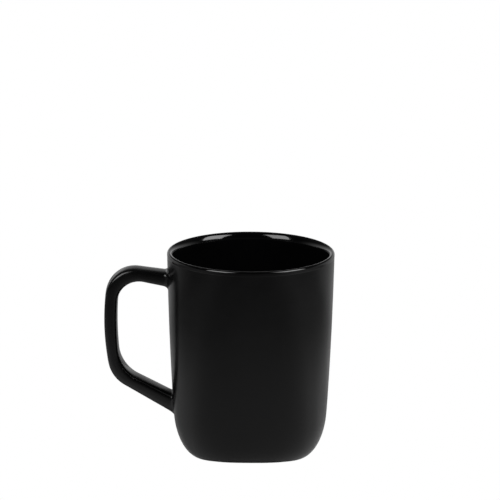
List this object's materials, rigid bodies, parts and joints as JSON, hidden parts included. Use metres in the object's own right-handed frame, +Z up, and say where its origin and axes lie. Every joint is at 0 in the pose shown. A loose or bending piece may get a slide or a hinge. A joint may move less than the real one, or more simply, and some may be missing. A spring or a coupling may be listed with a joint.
{
  "type": "mug",
  "caption": "Straight-sided drinking mug, round at the lip and softly square at the base, with an angular strap handle and a flat foot ring.",
  "frame": {"origin": "centre of the foot ring, on the surface that the mug stands on", "axes": "+Z up through the cup's axis, -X towards the handle, +Y across the handle"},
  "size_m": [0.1132, 0.082, 0.101],
  "materials": {
    "clay": "bare fired stoneware, fine and slightly rough",
    "slip": "fired joining slip, smoothed with a wet sponge",
    "gloss_black_glaze": "smooth glossy black glaze",
    "matt_black_glaze": "satin-matt black glaze",
    "handle_black_glaze": "semi-gloss black glaze",
    "base_black_glaze": "satin-matt black glaze"
  },
  "bodies": {
    "root": {"cup_body": "clay", "handle": "clay", "upper_slip_joint": "slip", "lower_slip_joint": "slip", "liner_glaze": "gloss_black_glaze", "outer_glaze": "matt_black_glaze", "handle_glaze": "handle_black_glaze", "base_glaze": "base_black_glaze"}
  },
  "joints": []
}
